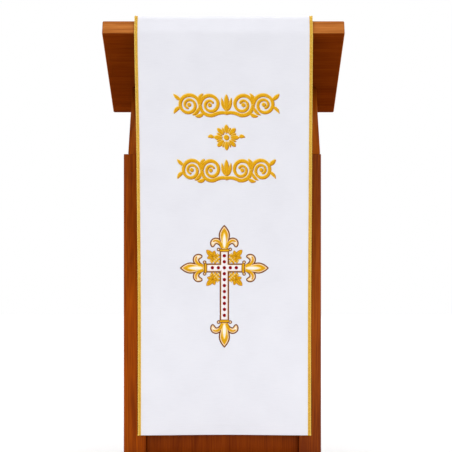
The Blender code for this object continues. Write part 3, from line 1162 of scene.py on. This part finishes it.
QUARTER = math.pi / 2
LILIES = {
    "top": ((0, ARM_TOP), 0, 73.0),
    "left": ((-ARM_SIDE, BAR_LOW), QUARTER, 73.8),
    "right": ((ARM_SIDE, BAR_LOW), -QUARTER, 73.8),
    "foot": ((0, -ARM_FOOT), 2 * QUARTER, 76.5),
}
for at, turn, length in LILIES.values():
    lily(at, turn, length)
print("lilies:", list(LILIES))

# %% A vine leaf on a small trellis in each corner of the cross
LEAF_HEART = 48.0
LOBES = [(0, 25, 7.4), (66, 17, 5.8), (-66, 17, 5.8), (122, 13.5, 4.6), (-122, 13.5, 4.6)]
LATHS = [(29.0, 11.5), (37.5, 17.0)]
RUNG_PITCH = 6.6


def vine_leaf(turn):
    """Rungs, two laths across them and the leaf, drawn along the diagonal and turned to its corner."""
    centre = (0, BAR_LOW / 2)
    for number in range(-2, 3):
        foot = (number * RUNG_PITCH, 20 + abs(number) * RUNG_PITCH)
        head = (number * RUNG_PITCH, 45)
        rung = stroke(straight(foot, head), rounded(2.9, 22), centre, turn)
        cross.nest(rung, [("amber", 0), ("lemon", 0.8)])
    for distance, half in LATHS:
        lath = stroke(straight((-half, distance), (half, distance)), rounded(2.7, 2 * half), centre, turn)
        cross.nest(lath, [("amber", 0), ("gold", 1.0)], layer=1, crown=0.9)
    for angle, length, half in LOBES:
        heading = math.radians(angle)
        tip = (-length * math.sin(heading), LEAF_HEART + length * math.cos(heading))
        lobe = stroke(straight((0, LEAF_HEART - 2), tip), leaf(half, 0.48, 0.7), centre, turn)
        cross.nest(lobe, [("amber", 0), ("gold", 1.1)], layer=2, crown=0.9)
        vein_end = (tip[0] * 0.7, LEAF_HEART + (tip[1] - LEAF_HEART) * 0.7)
        vein = stroke(straight((0, LEAF_HEART), vein_end), stem(0.9, 0.6), centre, turn)
        cross.add("amber", vein, layer=5)


for corner in range(4):
    vine_leaf(QUARTER / 2 + corner * QUARTER)
cross_pieces = cross.finish(place_on_front(CROSS_X, CROSS_Z))

# %% [markdown]
# ## The gold ornament above the cross
#
# Three gold ornaments of plain, traditional kinds fill the upper part of the front: a
# vine scroll, a rosette, and a second scroll. A scroll is a wave of stems that each wind
# into a spiral. It is drawn for one side and mirrored, like a template that the
# embroiderer turns over. The two scrolls are the same drawing at two lengths.

# %% Vine scroll
SCROLL_LEAVES = [
    ((1, -16), (9, -2), (14, 21), 4.8),
    ((65, -22), (76, -30), (90, -31), 5.0),
    ((76, 4), (75, 20), (66, 32), 5.2),
    ((77, -3), (84, -19), (98, -28), 4.6),
    ((128, 13), (140, 21), (150, 31), 5.2),
    ((130, -6), (141, -11), (150, -24), 4.8),
]
DRAWN_LENGTH = 300


def curve_through(start, middle, end):
    """A gentle curve through three points."""
    control = tuple(2 * m - (s + e) / 2 for s, m, e in zip(start, middle, end))
    handles = [tuple(p + 2 / 3 * (c - p) for p, c in zip(point, control)) for point in (start, end)]
    return bent(start, *handles, end)


def vine_scroll(name, length, x, z):
    motif = Embroidery(name)
    stretch = length / DRAWN_LENGTH
    for mirror in (-1, 1):

        def add(line, half, layer=0):
            def stretched(share):
                x, y = line(share)
                return x * stretch, y

            motif.raise_gold_with_painted_light(stretched, half, layer, mirror=mirror)

        add(bent((1, -23), (13, -19), (26, -23), (37, -28)), stem(4.2, 4.9))
        add(spiral((46, 1), 30.5, 29, 248, 0.31), stem(4.9, 4.9))
        add(spiral((46, 1), 29, 8, 0, 1.45), stem(4.9, 3.0), layer=1)
        add(spiral((107, 0), 31, 8, 180, -1.75), stem(4.9, 3.0), layer=1)
        for start, middle, end, half in SCROLL_LEAVES:
            add(curve_through(start, middle, end), leaf(half, 0.5))
        for bud_x, bud_y in ((48, 0), (106, 1)):
            add(straight((bud_x - 5.6, bud_y), (bud_x + 5.6, bud_y)), disc(5.6), layer=2)
    motif.raise_gold_with_painted_light(straight((0, -16), (0, 30)), leaf(6.6, 0.5, 0.7), 1)
    motif.raise_gold_with_painted_light(straight((-5.5, -22), (5.5, -22)), disc(5.5), 2)
    return motif.finish(place_on_front(x, z))


ORNAMENT_X = 0.0087
ornament = vine_scroll("upper_scroll", 298, ORNAMENT_X, 1.0640)
ornament += vine_scroll("lower_scroll", 280, ORNAMENT_X, 0.8815)

# %% Rosette
PETALS = 8


def rosette(x, z):
    motif = Embroidery("rosette")
    for petal in range(PETALS):
        turn = 2 * math.pi * petal / PETALS
        motif.raise_gold_with_painted_light(straight((0, 12), (0, 30)), leaf(3.2, 0.6), turn=turn + math.pi / PETALS)
        motif.raise_gold_with_painted_light(straight((0, 11), (0, 36)), leaf(6.0, 0.6, 0.65), 1, turn=turn)
    motif.raise_gold_with_painted_light(straight((-7.5, 0), (7.5, 0)), disc(7.5), 1)
    for mirror in (-1, 1):
        motif.raise_gold_with_painted_light(bent((36, -1), (41, 4), (46, 5), (53, 0)), leaf(5.0, 0.42), mirror=mirror)
    return motif.finish(place_on_front(x, z))


ornament += rosette(ORNAMENT_X, 0.9735)

# %% [markdown]
# ## The cloth and what is sewn to it
#
# The cut of the cloth is a plain rectangle, 0.50 m by 2.50 m. The edging, the stitches
# and the embroidery are sewn to it and move with it.

# %% The camera stands where the photographer's did
LENS = 108.2
CAMERA_X = 0.0073
CAMERA_DISTANCE = 3.8
CAMERA_HEIGHT = 0.724
camera_data = bpy.data.cameras.new("camera")
camera_data.lens = LENS
camera_data.sensor_width = 36
camera = new_object("camera", camera_data)
camera.location = (CAMERA_X, FRONT_Y - CAMERA_DISTANCE, CAMERA_HEIGHT)
camera.rotation_euler = (math.pi / 2, 0, 0)
bpy.context.scene.camera = camera
print("camera at", [round(v, 3) for v in camera.location])

# %% [markdown]
# ## The studio
#
# The picture has a pure white ground and very soft light. The sky is white wherever the
# camera looks straight at it, and for everything that it lights it is dim from the
# horizon to well above it and brighter overhead, as a room with a large soft lamp over
# it is. That dim band is what the varnish mirrors towards the camera, so the stain stays
# deep. Two broad lamps stand in front and give the raised stitches a light and a dark
# side, the left one a little stronger. A third lights the back. The floor is a white
# sheet that glows a little, so that it reads as white as the ground.

# %% Sky
WHITE = (1, 1, 1, 1)
HORIZON_LIGHT = 0.22
ZENITH_LIGHT = 2.0
DIM_BELOW = 0.4
world = bpy.data.worlds.new("white_studio")
world.use_nodes = True
bpy.context.scene.world = world
direction = add_node(world, "ShaderNodeTexCoord", output="Generated")
height = add_node(world, "ShaderNodeSeparateXYZ", output="Z", Vector=direction)
upwards = {"From_Min": DIM_BELOW, "From_Max": 1.0, "To_Min": HORIZON_LIGHT, "To_Max": ZENITH_LIGHT}
room_light = add_node(world, "ShaderNodeMapRange", Value=height, **upwards)
room = add_node(world, "ShaderNodeBackground", Color=WHITE, Strength=room_light)
white_ground = world.node_tree.nodes["Background"]
white_ground.inputs["Color"].default_value = WHITE
seen = add_node(world, "ShaderNodeLightPath", output="Is Camera Ray")
sky = add_node(world, "ShaderNodeMixShader", _0=seen, _1=room, _2=white_ground.outputs[0])
link(world, sky, world.node_tree.nodes["World Output"].inputs["Surface"])
print("light from the horizon and from overhead:", HORIZON_LIGHT, ZENITH_LIGHT)

# %% Lamps, each a sun with a wide disc, which shines as a large soft box does
LAMP_HEIGHT = math.radians(26)
LAMP_SIDE = math.radians(32)
LAMP_SPREAD = math.radians(45)
LAMPS = {
    "left_lamp": (0.63, -LAMP_SIDE),
    "right_lamp": (0.60, LAMP_SIDE),
    "back_lamp": (0.55, math.pi - LAMP_SIDE),
}
for name, (strength, turn) in LAMPS.items():
    lamp_data = bpy.data.lights.new(name, "SUN")
    lamp_data.energy = strength
    lamp_data.angle = LAMP_SPREAD
    new_object(name, lamp_data).rotation_euler = (math.pi / 2 - LAMP_HEIGHT, 0, turn)
bpy.context.scene.view_settings.view_transform = "Standard"
print("lamps:", list(LAMPS))

# %% Floor
FLOOR_SIZE = 14.0
floor_builder = bmesh.new()
bmesh.ops.create_grid(floor_builder, x_segments=1, y_segments=1, size=FLOOR_SIZE / 2)
floor_paint, _ = new_material(
    "white_floor_sheet",
    Base_Color=hex_colour("#e7e7e7"),
    Roughness=0.9,
    Emission_Color=WHITE,
    Emission_Strength=0.08,
)
floor = mesh_object("floor", floor_builder, floor_paint)
print("floor:", FLOOR_SIZE, "m wide")
